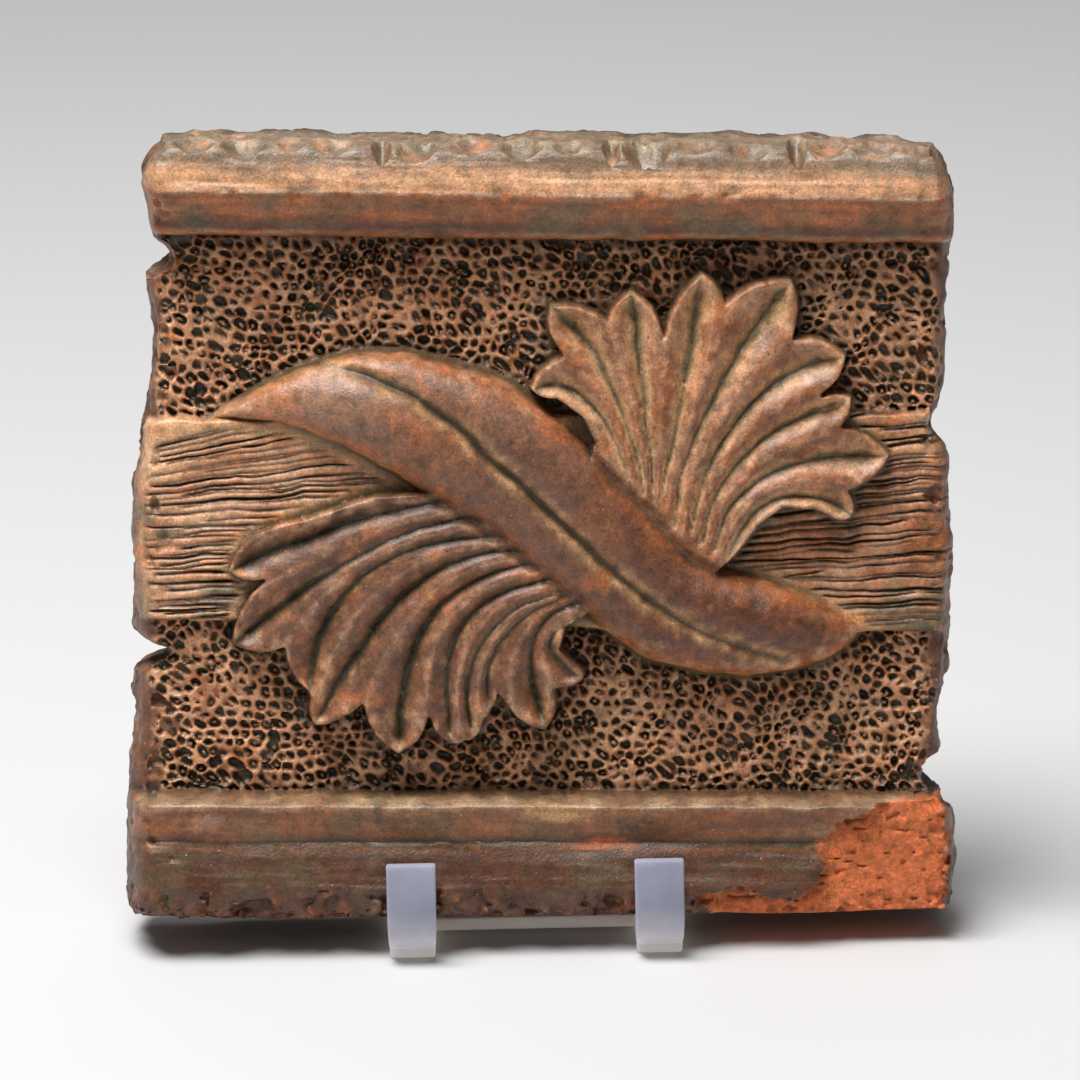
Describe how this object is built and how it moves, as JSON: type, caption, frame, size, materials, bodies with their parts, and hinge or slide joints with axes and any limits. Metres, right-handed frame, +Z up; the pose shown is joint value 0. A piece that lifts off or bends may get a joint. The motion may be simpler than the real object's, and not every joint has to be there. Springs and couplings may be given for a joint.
{
  "type": "roof ornament tile",
  "caption": "Carved, dark-glazed terracotta ornament tile with mouldings, an S-shaped leaf and acanthus fans, leaning on a small moulded plastic easel.",
  "frame": {"origin": "centre of the whole part's bounding box, on the surface the easel stands on", "axes": "+Z up, +X along the tile to the viewer's right, -Y out of the tile's carved face towards the viewer"},
  "size_m": [0.1978, 0.1016, 0.191],
  "materials": {
    "terracotta": "thin brown slip glaze, worn, over orange terracotta",
    "frosted_plastic": "frosted, translucent"
  },
  "bodies": {
    "root": {"terracotta_tile": "terracotta", "easel_arm_left": "frosted_plastic", "easel_arm_right": "frosted_plastic", "easel_crossbar": "frosted_plastic"}
  },
  "joints": []
}
